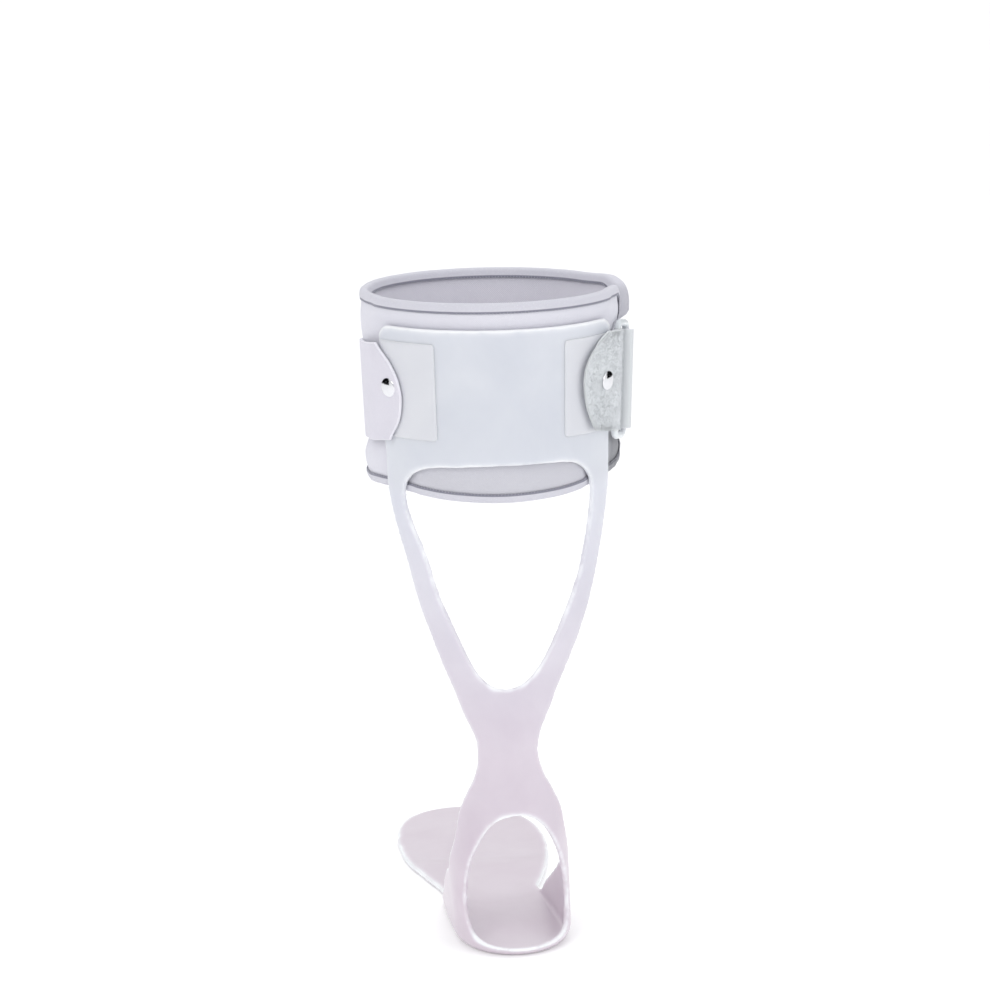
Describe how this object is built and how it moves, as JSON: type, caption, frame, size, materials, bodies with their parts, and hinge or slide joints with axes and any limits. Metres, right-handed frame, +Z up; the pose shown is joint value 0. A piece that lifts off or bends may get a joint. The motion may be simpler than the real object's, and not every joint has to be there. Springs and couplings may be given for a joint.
{
  "type": "ankle foot orthosis",
  "caption": "Posterior leaf spring ankle foot orthosis: a thin moulded plastic brace with a forked calf cuff, padded sleeve, strap with ring, open heel and flat sole plate.",
  "frame": {"origin": "on the floor under the centre of the heel cup, on the sole plate's underside", "axes": "+Y towards the toes, +X medial (the brace fits a left foot), +Z up the leg"},
  "size_m": [0.1379, 0.2712, 0.3444],
  "materials": {
    "polypropylene": "translucent natural sheet, satin, bright ground edges",
    "pad_cover_fabric": "soft brushed knit",
    "pad_foam": "closed-cell foam",
    "pad_lining_fabric": "soft knit",
    "pad_binding_tape": "woven edge tape, stitched",
    "hook_tape": "moulded hook tape",
    "patch_plastic": "smooth self-adhesive film patch",
    "strap_fabric": "close woven band",
    "loop_fabric": "fuzzy loop pile",
    "ring_plastic": "translucent moulded plastic",
    "rivet_chrome": "polished dome",
    "rivet_steel": "plain"
  },
  "bodies": {
    "foot": {"foot_shell": "polypropylene", "neck_leaf_spring": "polypropylene", "toe_flex_strip": "polypropylene"},
    "toe": {"toe_plate": "polypropylene"},
    "calf": {"calf_shell": "polypropylene", "liner_hook_square_left": "hook_tape", "liner_hook_square_right": "hook_tape", "cuff_patch_left": "patch_plastic", "cuff_patch_right": "patch_plastic", "strap_web": "strap_fabric", "chafe_tab": "loop_fabric", "rivet_cap_left": "rivet_chrome", "rivet_cap_right": "rivet_chrome", "rivet_post_left": "rivet_steel", "rivet_post_right": "rivet_steel", "rivet_washer_left": "rivet_steel", "rivet_washer_right": "rivet_steel"},
    "pad": {"pad_outer_cover": "pad_cover_fabric", "pad_foam_core": "pad_foam", "pad_skin_lining": "pad_lining_fabric", "pad_edge_binding": "pad_binding_tape"},
    "flap": {"strap_flap": "strap_fabric", "flap_hook_patch": "hook_tape"},
    "ring": {"strap_ring": "ring_plastic"}
  },
  "joints": [
    {"name": "ankle_flex", "type": "hinge", "parent": "foot", "child": "calf", "pos_m": [0, -0.0225, 0.107], "axis": [-1, 0, 0], "range_deg": [-10, 15], "stiffness_Nm_per_rad": 35, "deforming": ["neck_leaf_spring"]},
    {"name": "toe_flex", "type": "hinge", "parent": "foot", "child": "toe", "pos_m": [0, 0.124, 0.0015], "axis": [1, 0, 0], "range_deg": [0, 30], "stiffness_Nm_per_rad": 6, "deforming": ["toe_flex_strip"]},
    {"name": "pad_lift_out", "type": "slide", "parent": "calf", "child": "pad", "axis": [-0.0128, -0.0421, 0.999], "range_m": [0, 0.11]},
    {"name": "flap_peel", "type": "hinge", "parent": "calf", "child": "flap", "pos_m": [0.06664, -0.01011, 0.29595], "axis": [-0.0575, -0.1268, -0.9903], "range_deg": [0, 100], "stiffness_Nm_per_rad": 0.05},
    {"name": "ring_pivot", "type": "hinge", "parent": "calf", "child": "ring", "pos_m": [0.05745, -0.02117, 0.2979], "axis": [0.0575, 0.1268, 0.9903], "range_deg": [-1.5, 1.5], "stiffness_Nm_per_rad": 0.02}
  ]
}
